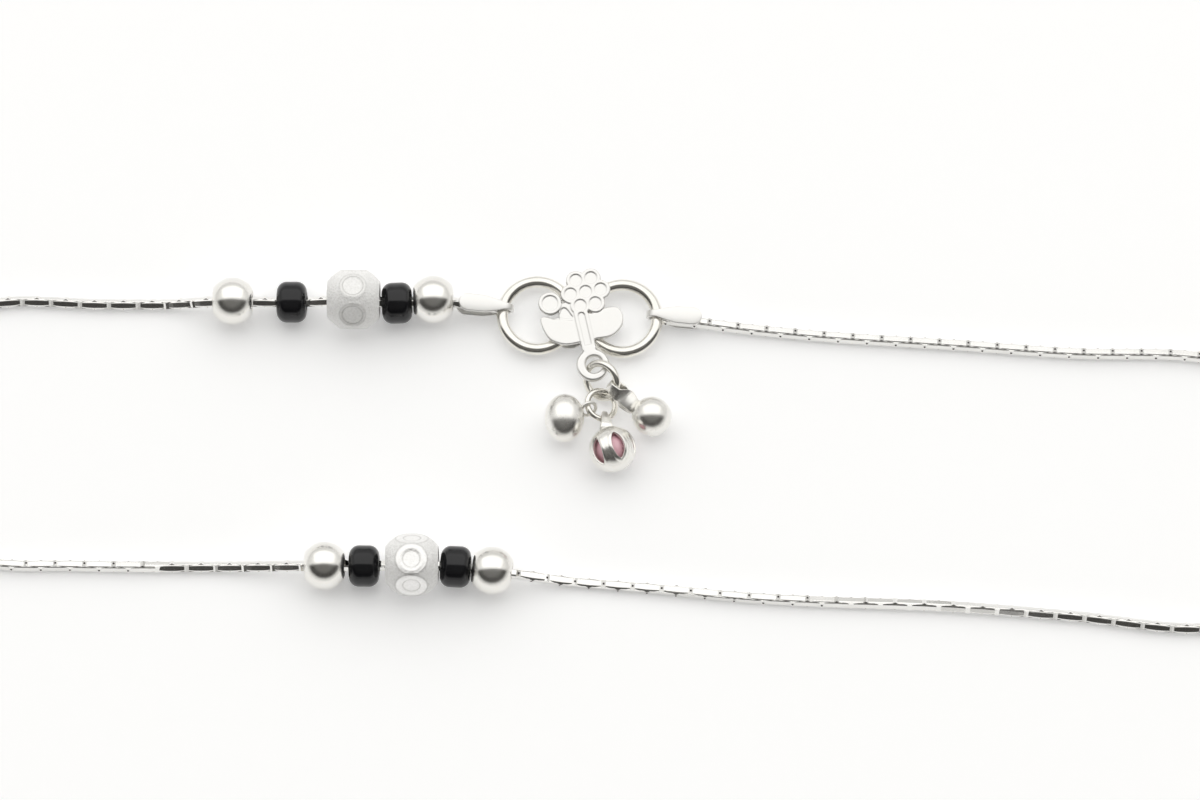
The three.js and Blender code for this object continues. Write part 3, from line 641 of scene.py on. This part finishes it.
# Flower. A flat silver plate, cast and brushed: seven dished circles, a bud, two
# leaves, a grooved stem and an eyelet. A strip behind each leaf is folded down
# through its ring and back under the wire.
EYELET = Vector((-0.59, 2.56, 0))
EYELET_RADIUS, HOLE_RADIUS = 1.38, 0.7
FLOWER_TURN = 12.8
PLATE_TOP, PLATE_BOTTOM = 1.92, 1.52
HEART_X, HEART_Y = 0.79, 6.27
PETAL_REACH, PETAL_RADIUS = 1.27, 0.53
PETALS = [(HEART_X, HEART_Y, PETAL_RADIUS)]
for k in range(6):
    turn = math.radians(60 * k - 3)
    PETALS.append((HEART_X + PETAL_REACH * math.cos(turn), HEART_Y + PETAL_REACH * math.sin(turn),
                   PETAL_RADIUS))
BUD = (-2.32, 5.94, 0.68)
PETALS.append(BUD)
LEAVES = [
    [(-0.3, 4.0), (-0.9, 4.07), (-2.19, 4.51), (-3.1, 4.95), (-3.42, 4.6), (-3.3, 3.6), (-2.9, 2.8),
     (-1.88, 2.21), (-0.8, 2.12), (-0.3, 2.2)],
    [(0.3, 2.3), (0.9, 2.12), (2.08, 2.1), (2.96, 2.62), (3.38, 3.45), (3.15, 4.34), (2.28, 4.56),
     (1.62, 4.4), (0.9, 4.35), (0.3, 4.4)],
]
WEB = [(-1.9, 4.2), (-0.3, 3.9), (-0.1, 5.6), (-1.7, 5.8)]
CHANNEL = [(-0.3, 1.75), (0.3, 1.75), (0.3, 4.35), (0.21, 4.55), (0, 4.65), (-0.21, 4.55), (-0.3, 4.35)]
ARCH = [(-1.95, 4.62), (-0.78, 4.28), (-0.86, 4.75), (-1.08, 5.2), (-1.32, 5.34), (-1.55, 5.22),
        (-1.72, 4.95)]
WIDENING = [(-0.4, 2.3), (-0.4, 3.4), (-2.3, 3.4), (-2.3, 2.62), (-1.85, 2.3), (-1.2, 2.14)]
WIDENING_TOP = 0.33
HOOK_THICK, HOOK_TOP, HOOK_FOOT = 0.32, 1.8, 0.17


def softened(points, steps):
    """Closed smooth outline through the points."""
    points = [np.array(p, float) for p in points]
    count = len(points)
    line = []
    for k in range(count):
        p0, p1, p2, p3 = (points[(k + i - 1) % count] for i in range(4))
        for i in range(steps):
            t = i / steps
            line.append(0.5 * (2 * p1 + (p2 - p0) * t + (2 * p0 - 5 * p1 + 4 * p2 - p3) * t * t
                               + (3 * p1 - p0 - 3 * p2 + p3) * t ** 3))
    return line


LEAF_LINES = [softened(leaf, 8) for leaf in LEAVES]
ARCH_LINE = softened(ARCH, 4)


def to_disc(u, v, x, y, r):
    return np.hypot(u - x, v - y) - r


def to_outline(u, v, points):
    """Distance to a closed outline, negative inside."""
    least = np.full(u.shape, 1e9)
    inside = np.zeros(u.shape, bool)
    for (ax, ay), (bx, by) in zip(points, [*points[1:], points[0]]):
        ex, ey = bx - ax, by - ay
        t = np.clip(((u - ax) * ex + (v - ay) * ey) / (ex * ex + ey * ey), 0, 1)
        least = np.minimum(least, np.hypot(u - ax - t * ex, v - ay - t * ey))
        if abs(ey) > 1e-9:
            crosses = ((ay > v) != (by > v)) & (u < ex * (v - ay) / ey + ax)
            inside ^= crosses
    return np.where(inside, -least, least)


def flower_parts(u, v):
    """Distances to the plate's raised parts, its leaves and its hole."""
    discs = np.minimum.reduce([to_disc(u, v, x, y, r + 0.3) for x, y, r in PETALS])
    leaves = np.minimum.reduce([to_outline(u, v, leaf) for leaf in LEAF_LINES])
    stem = np.maximum(np.abs(u) - 0.6, np.maximum(0.9 - v, v - 5.2))
    web = to_outline(u, v, WEB)
    eyelet = to_disc(u, v, 0, 0, EYELET_RADIUS)
    hole = HOLE_RADIUS - np.hypot(u - 0.1, v)
    return discs, leaves, stem, web, eyelet, hole


def flower_edge(u, v):
    discs, leaves, stem, web, eyelet, hole = flower_parts(u, v)
    return np.maximum(np.minimum.reduce([discs, leaves, stem, web, eyelet]), hole)


def flower_top(u, v, edge):
    """Height of the plate's face, with its dished circles and engraved lines."""
    discs, _, stem, _, eyelet, _ = flower_parts(u, v)
    raised = 0.05 * (1 - smooth_step(np.minimum.reduce([discs, stem, eyelet]), -0.05, 0.01))
    dished = sum(0.045 * (1 - smooth_step(to_disc(u, v, x, y, r), -0.06, 0.02)) for x, y, r in PETALS)
    groove = 0.06 * (1 - smooth_step(to_outline(u, v, CHANNEL), -0.05, 0.02))
    arch = 0.05 * (1 - smooth_step(to_outline(u, v, ARCH_LINE), -0.05, 0.02))
    rounding = np.where(eyelet < 0.05, 0.2, 0.09)
    inset = np.clip(-edge, 0, rounding)
    drop = rounding - np.sqrt(np.maximum(rounding ** 2 - (rounding - inset) ** 2, 0))
    return PLATE_TOP - 0.05 + raised - dished - groove - arch - np.minimum(drop, 0.2)


def flower_groove(u, v):
    """How strongly each place lies on an engraved line, where the colour is darkened: painted shade of the
    recess, partly tarnish.
    """
    discs, _, stem, _, eyelet, _ = flower_parts(u, v)
    lines = [to_disc(u, v, x, y, r) for x, y, r in PETALS]
    lines += [to_outline(u, v, CHANNEL), to_outline(u, v, ARCH_LINE),
              np.minimum.reduce([discs, stem, eyelet])]
    return 1 - smooth_step(np.minimum.reduce([np.abs(line + 0.01) for line in lines]), 0.01, 0.075)


def closed_shell(corners, count):
    """Quads of a skin, the same quads behind it, and a wall along each of its open edges."""
    open_edges = {}
    for quad in corners:
        for a, b in zip(quad, np.roll(quad, -1)):
            if (b, a) in open_edges:
                del open_edges[(b, a)]
            else:
                open_edges[(a, b)] = True
    walls = [(b, a, a + count, b + count) for a, b in open_edges]
    return [tuple(q) for q in corners] + [tuple(q[::-1] + count) for q in corners] + walls


def clipped_plate(edge_of, top_of, low, high, step, bottom):
    """Solid plate inside an outline given by a distance, on a fine grid."""
    us = np.arange(low[0], high[0] + step, step)
    vs = np.arange(low[1], high[1] + step, step)
    u, v = np.meshgrid(us, vs, indexing="ij")
    edge = edge_of(u, v)
    inside = edge < 0
    cells = inside[:-1, :-1] | inside[1:, :-1] | inside[1:, 1:] | inside[:-1, 1:]
    for _ in range(3):
        du = (edge_of(u + 0.01, v) - edge) / 0.01
        dv = (edge_of(u, v + 0.01) - edge) / 0.01
        move = np.where((edge > 0) & (edge < step * 2), edge, 0)
        size = np.maximum(np.hypot(du, dv), 0.3)
        u, v = u - move * du / size, v - move * dv / size
        edge = edge_of(u, v)
    used = np.zeros(u.shape, bool)
    for a, b in ((0, 0), (1, 0), (1, 1), (0, 1)):
        used[a:a + cells.shape[0], b:b + cells.shape[1]] |= cells
    number = np.full(u.shape, -1)
    number[used] = np.arange(used.sum())
    height = top_of(u, v, edge)
    tops = np.stack([u[used], v[used], height[used]], axis=1)
    bottoms = np.stack([u[used], v[used], np.full(used.sum(), bottom)], axis=1)
    i, j = np.nonzero(cells)
    corners = np.stack([number[i, j], number[i + 1, j], number[i + 1, j + 1], number[i, j + 1]], axis=1)
    return np.concatenate([tops, bottoms]), closed_shell(corners, len(tops))


def joined_parts(parts):
    vertices, faces = [], []
    for more, links in parts:
        faces += [tuple(i + len(vertices) for i in f) for f in links]
        vertices += [tuple(v) for v in more]
    return vertices, faces


def hook(side, fold_at, reach, low, high):
    """Strip folded from a leaf's outer end, mirrored for the left one."""
    level = (HOOK_TOP - HOOK_THICK / 2 - HOOK_FOOT) / 2
    middle = HOOK_FOOT + level
    path = fold_path(0.5, reach, level)
    vertices, faces = swept(path, [(high - low) / 2] * len(path), HOOK_THICK, False)
    placed = [(side * (x + fold_at), y + (low + high) / 2, z + middle) for x, y, z in vertices]
    return placed, [f[::side] for f in faces]


def widening_edge(u, v):
    return to_outline(u, v, WIDENING)


def widening_top(u, v, edge):
    return np.full(u.shape, WIDENING_TOP)


plate = clipped_plate(flower_edge, flower_top, (-3.7, -1.5), (3.7, 8.6), step=0.05, bottom=PLATE_BOTTOM)
widening = clipped_plate(widening_edge, widening_top, (-2.5, 2.0), (-0.2, 3.6), step=0.1, bottom=0.0)
left_hook = hook(-1, fold_at=2.28, reach=1.9, low=3.35, high=4.6)
right_hook = hook(1, fold_at=2.4, reach=2.5, low=3.0, high=4.25)
vertices, faces = joined_parts([plate, widening, left_hook, right_hook])
turn = Matrix.Rotation(math.radians(FLOWER_TURN), 4, "Z")
flower = mesh_object("clasp_flower_plate", [(turn @ Vector(v) + EYELET) * MM + LAYOUT for v in vertices],
                     faces, plate_silver)
u, v, w = np.array(vertices).T
# Groove mark: painted shade of the engraved lines, partly tarnish, on the plate's face only.
groove = np.where(w > PLATE_BOTTOM + 0.05, flower_groove(u, v), 0)
flower.data.attributes.new("groove", "FLOAT", "POINT").data.foreach_set("value", groove)
kept(flower, "clasp_flower")

# Drop rings. A jump ring of round silver wire leans through the eyelet, and a second
# one hangs in it and carries two of the three balls.


class LeaningRing:
    """A ring's centre, the line to its foot, and the direction across that line."""

    def __init__(self, centre, line, lean, radius, wire):
        self.centre = Vector(centre)
        self.line = Vector(line).normalized()
        side = UP.cross(self.line).normalized()
        up = self.line.cross(side)
        self.across = side * math.cos(math.radians(lean)) + up * math.sin(math.radians(lean))
        self.radius = radius
        self.wire = wire

    def at(self, degrees):
        turn = math.radians(degrees)
        point = self.centre + (self.line * math.cos(turn) + self.across * math.sin(turn)) * self.radius
        return point, self.across * math.cos(turn) - self.line * math.sin(turn)

    def build(self, name):
        vertices, faces = wire_ring(self.radius, self.wire, 72, 18)
        placed = laid(vertices, self.centre * MM + LAYOUT, self.line, self.line.cross(self.across))
        return mesh_object(name, placed, faces, ring_silver)


ring_top = Vector((-0.5, 2.62, 1.74))
ring_foot = Vector((0.76, 0.0, 1.0))
ring_line = ring_foot - ring_top
drop_ring = LeaningRing((ring_top + ring_foot) / 2, ring_line,
                        lean=42, radius=ring_line.length / 2, wire=0.31)
carrier_ring = LeaningRing((0.1, -0.66, 0.98), (0.1, -1, 0.06), lean=-22, radius=1.24, wire=0.26)
kept(drop_ring.build("drop_ring_wire"), "drop_ring")
kept(carrier_ring.build("carrier_ring_wire"), "carrier_ring")

# Drops. Two plain silver balls and one pierced ball, each soldered to a bail. The
# pierced ball has six almond windows with raised lips and a pink ball inside.
BAIL_THICK = 0.2
SHELL_RADIUS, SHELL_WALL = 1.95, 0.28


def stadium(length, half_height, thick):
    """Middle line of a strip bent into a long loop."""
    radius = half_height - thick / 2
    turns = np.linspace(-math.pi / 2, math.pi / 2, 14)
    right = [(length - half_height + radius * math.cos(a), radius * math.sin(a)) for a in turns]
    left = [(half_height - radius * math.cos(a), -radius * math.sin(a)) for a in turns]
    middle = np.linspace(0, 1, 12)[1:-1]
    top = [(right[-1][0] + (left[0][0] - right[-1][0]) * t, right[-1][1]) for t in middle]
    foot = [(left[-1][0] + (right[0][0] - left[-1][0]) * t, left[-1][1]) for t in middle]
    return right + top + left + foot


def hung_bail(ring, degrees, neck, half_height, widths, slack, twist=0, shut=1.0, arch=0.0):
    """Loop of strip over a ring, its leaves turned, arched and closed toward the neck."""
    point, tangent = ring.at(degrees)
    along = Vector(neck) - point
    length = along.length + half_height + slack
    along.normalize()
    across = (tangent - along * tangent.dot(along)).normalized()
    start = point - along * (half_height + slack)
    path = stadium(length, half_height, BAIL_THICK)
    places = [0, length * 0.3, length * 0.65, length]
    halves = [np.interp(x, places, widths) / 2 for x, _ in path]
    vertices, faces = swept(path, halves, BAIL_THICK, True)
    bent = []
    for x, y, z in vertices:
        share = min(max((x - 2 * half_height) / (length - 2 * half_height), 0), 1)
        turn = math.radians(twist) * min(share * 3, 1)
        z = z * (1 - share * (1 - shut)) + arch * share * y * y
        bent.append((x, y * math.cos(turn) - z * math.sin(turn), y * math.sin(turn) + z * math.cos(turn)))
    placed = laid(bent, start * MM, along, along.cross(across))
    return [v / MM for v in placed], faces


def ball_mesh(centre, radii, rows=48, sides=72):
    vertices, faces = [], []
    for i in range(rows + 1):
        lean = math.pi * i / rows
        for s in range(sides):
            turn = 2 * math.pi * s / sides
            vertices.append((centre[0] + radii[0] * math.sin(lean) * math.cos(turn),
                             centre[1] - radii[1] * math.cos(lean),
                             centre[2] + radii[2] * math.sin(lean) * math.sin(turn)))
    for i in range(rows):
        for s in range(sides):
            nxt = (s + 1) % sides
            faces.append((i * sides + s, i * sides + nxt, (i + 1) * sides + nxt, (i + 1) * sides + s))
    return vertices, faces


def merged(piece):
    """Joins doubled points and turns every face outward."""
    body = bmesh.new()
    body.from_mesh(piece.data)
    bmesh.ops.remove_doubles(body, verts=body.verts, dist=1e-7)
    bmesh.ops.recalc_face_normals(body, faces=body.faces)
    body.to_mesh(piece.data)
    body.free()
    piece.data.shade_smooth()
    return piece


def drop(name, node, parts):
    vertices, faces = joined_parts(parts)
    piece = mesh_object(name, [Vector(v) * MM + LAYOUT for v in vertices], faces, drop_silver)
    kept(merged(piece), node)


drop_silver = material("drop_silver", silver(
    (0.91, 0.9, 0.87, 1), (0.86, 0.845, 0.805, 1),
    roughness=0.27, spread=0.16, grain=12000.0, bump=0.14))
point, _ = carrier_ring.at(-72)
left_centre = Vector((-2.95, -1.98, 1.68))
along = (left_centre - point).normalized()
ring_vertices, ring_faces = wire_ring(0.64, 0.15, 40, 12)
bail = [v / MM for v in laid([(x, z, y) for x, y, z in ring_vertices], point * MM, along,
                               Vector((0.35, 0.75, 0.7)))]
drop("drop_ball_left_polished", "drop_ball_left",
     [ball_mesh(left_centre, (1.68, 2.05, 1.68)), (bail, ring_faces)])

right_centre = (4.29, -1.82, 1.66)
bail = hung_bail(drop_ring, 42, (3.0, -1.15, 1.6), half_height=0.6, widths=[0.7, 1.05, 1.55, 1.2],
                 slack=0.2, twist=-50, shut=0.6, arch=-0.42)
drop("drop_ball_right_polished", "drop_ball_right", [ball_mesh(right_centre, (1.66, 1.66, 1.66)), bail])


def to_window(turn, lean, radius):
    """Distance on the ball to the nearest almond window, negative inside."""
    span = 2 * math.pi / 6
    off = (turn + span / 2) % span - span / 2
    x = np.abs(off) * np.cos(lean) * radius
    y = np.abs(lean) * radius
    arc, half_width = 1.8, 0.53
    return np.hypot(x + arc - half_width, y) - arc


def pierced_shell(first_window):
    """Hollow ball about Y with six windows, raised lips and an inner wall."""
    rows, sides, radius, reach, tiny = 96, 216, SHELL_RADIUS, 1.53, 0.003
    lean, turn = np.meshgrid(np.linspace(-reach, reach, rows), np.arange(sides) * 2 * math.pi / sides,
                             indexing="ij")
    edge = to_window(turn, lean, radius)
    inside = edge > 0
    beside = np.roll(inside, -1, axis=1)
    cells = inside[:-1] | inside[1:] | beside[:-1] | beside[1:]
    for _ in range(3):
        dt = (to_window(turn + tiny, lean, radius) - edge) / (tiny * radius)
        dl = (to_window(turn, lean + tiny, radius) - edge) / (tiny * radius)
        size = np.maximum(dt ** 2 / np.cos(lean) ** 2 + dl ** 2, 0.2)
        move = np.where((edge < 0) & (edge > -0.12), edge, 0) / size / radius
        turn = turn - move * dt / np.cos(lean) ** 2
        lean = lean - move * dl
        edge = to_window(turn, lean, radius)
    lip = 0.04 * (1 - smooth_step(np.abs(edge - 0.11), 0.06, 0.24))
    out = radius - 0.02 + lip
    number = np.arange(rows * sides).reshape(rows, sides)

    def shell(size):
        return np.stack([size * np.cos(lean) * np.sin(turn), size * np.sin(lean),
                         size * np.cos(lean) * np.cos(turn)], axis=2).reshape(-1, 3)

    i, j = np.nonzero(cells)
    k = (j + 1) % sides
    corners = np.stack([number[i, j], number[i, k], number[i + 1, k], number[i + 1, j]], axis=1)
    faces = closed_shell(corners, rows * sides)
    vertices = np.concatenate([shell(out), shell(radius - SHELL_WALL)])
    used = sorted({i for f in faces for i in f})
    index = {old: new for new, old in enumerate(used)}
    c, s = math.cos(first_window), math.sin(first_window)
    turned = [(x * c + z * s, y, -x * s + z * c) for x, y, z in vertices[used]]
    return turned, [tuple(index[i] for i in f) for f in faces]


pierced_centre = Vector((1.03, -4.69, 1.95))
axis = Vector((-0.3, 0.95, 0.08)).normalized()
view = Vector((0, -0.242, 0.97))
side = axis.cross(view).normalized()
front = side.cross(axis)
vertices, faces = pierced_shell(math.radians(18.5))
shell_turn = Matrix((side, axis, front)).transposed()
shell = [shell_turn @ Vector(v) + pierced_centre for v in vertices]
bail_vertices, bail_faces = hung_bail(carrier_ring, 6, (0.55, -3.1, 2.0), half_height=0.57,
                                      widths=[0.35, 0.5, 0.85, 1.1], slack=0.14, shut=0.7)
limit = SHELL_RADIUS - SHELL_WALL / 2
bail_vertices = [v if (v - pierced_centre).length > limit
                 else pierced_centre + (v - pierced_centre).normalized() * limit for v in bail_vertices]
drop("drop_ball_pierced_polished", "drop_ball_pierced", [(shell, faces), (bail_vertices, bail_faces)])


def pink_shader(graph, place):
    swirl = graph.node("ShaderNodeTexNoise", None, {
        "Vector": place, "Scale": 700.0, "Detail": 3.0, "Distortion": 0.8})
    colour = graph.mixed(swirl, (0.84, 0.36, 0.46, 1), (0.98, 0.7, 0.74, 1))
    return graph.node("ShaderNodeBsdfPrincipled", None, {
        "Base Color": colour, "Roughness": 0.3 + swirl * 0.15,
        "Coat Weight": 0.4, "Coat Roughness": 0.15})


pink = material("pink_glass", pink_shader)
vertices, faces = ball_mesh(pierced_centre, (1.47, 1.47, 1.47), 32, 48)
core = mesh_object("drop_core_pink", [Vector(v) * MM + LAYOUT for v in vertices], faces, pink)
kept(merged(core), "drop_core")

# Table and light. A white sheet under a wide overhead light, with the dark side
# of the room in front, which the polished faces pick up as grey bands.
floor = mesh_object("table_sheet", [(-3, -3, 0), (3, -3, 0), (3, 3, 0), (-3, 3, 0)], [(0, 1, 2, 3)],
                    None, smooth=False)


def sheet_shader(graph, place):
    fibre = graph.node("ShaderNodeTexNoise", None, {"Vector": place, "Scale": 600.0, "Detail": 3.0})
    colour = graph.mixed(fibre, (0.93, 0.93, 0.93, 1), (0.95, 0.95, 0.95, 1))
    return graph.node("ShaderNodeBsdfPrincipled", None, {
        "Base Color": colour, "Roughness": 0.8, "Specular IOR Level": 0.1,
        "Emission Color": (1, 1, 1, 1), "Emission Strength": 0.28})


floor.data.materials.append(material("table_white", sheet_shader))


def light(name, azimuth, elevation, distance, width, height, power):
    a, e = math.radians(azimuth), math.radians(elevation)
    out = Vector((math.sin(a) * math.cos(e), -math.cos(a) * math.cos(e), math.sin(e)))
    data = bpy.data.lights.new(name, "AREA")
    data.shape = "RECTANGLE"
    data.size, data.size_y, data.energy = width, height, power
    lamp = bpy.data.objects.new(name, data)
    lamp.location = LAYOUT + out * distance
    lamp.rotation_euler = out.to_track_quat("Z", "Y").to_euler()
    bpy.context.collection.objects.link(lamp)
    return lamp


light("softbox_above", azimuth=180, elevation=58, distance=1.0, width=2.2, height=1.3, power=3.6)
fill = light("fill_above", azimuth=172, elevation=62, distance=1.0, width=1.3, height=1.1, power=1.25)
fill.visible_glossy = False
world = bpy.data.worlds.new("studio")
world.use_nodes = True
graph = Graph(world.node_tree)
way = graph.node("ShaderNodeSeparateXYZ", None, {0: graph.node("ShaderNodeTexCoord")})


def graded(value, start, end):
    return graph.node("ShaderNodeMapRange", {"interpolation_type": "SMOOTHSTEP"}, {
        "Value": value, 1: start, 2: end})


behind = graded(way.other("Y"), -0.08, 0.02)
low_down = graded(way.other("Z"), 0.32, 0.15)
risen = graded(way.other("Z"), 0.1, 0.55)
high_up = graded(way.other("Z"), 0.5, 0.8)
lit_side = graph.mixed(risen, (0.72, 0.715, 0.7, 1), (0.9, 0.893, 0.87, 1))
dark_side = graph.mixed(high_up, (0.055, 0.053, 0.05, 1), (0.16, 0.157, 0.15, 1))
room = graph.mixed(behind.sum("MAXIMUM", behind, low_down), dark_side, lit_side)
background = graph.node("ShaderNodeBackground", None, {"Color": room})
graph.node("ShaderNodeOutputWorld", None, {"Surface": background})
bpy.context.scene.world = world
bpy.context.scene.view_settings.view_transform = "Standard"

CAMERA_ELEVATION, CAMERA_DISTANCE = 76, 0.5
elevation = math.radians(CAMERA_ELEVATION)
camera_data = bpy.data.cameras.new("camera")
camera_data.lens = 180
camera_data.sensor_width = 36
camera_data.clip_start = 0.01
camera = bpy.data.objects.new("camera", camera_data)
camera.location = LAYOUT + Vector((0, -math.cos(elevation), math.sin(elevation))) * CAMERA_DISTANCE
camera.rotation_euler = (math.radians(90 - CAMERA_ELEVATION), 0, 0)
bpy.context.collection.objects.link(camera)
bpy.context.scene.camera = camera
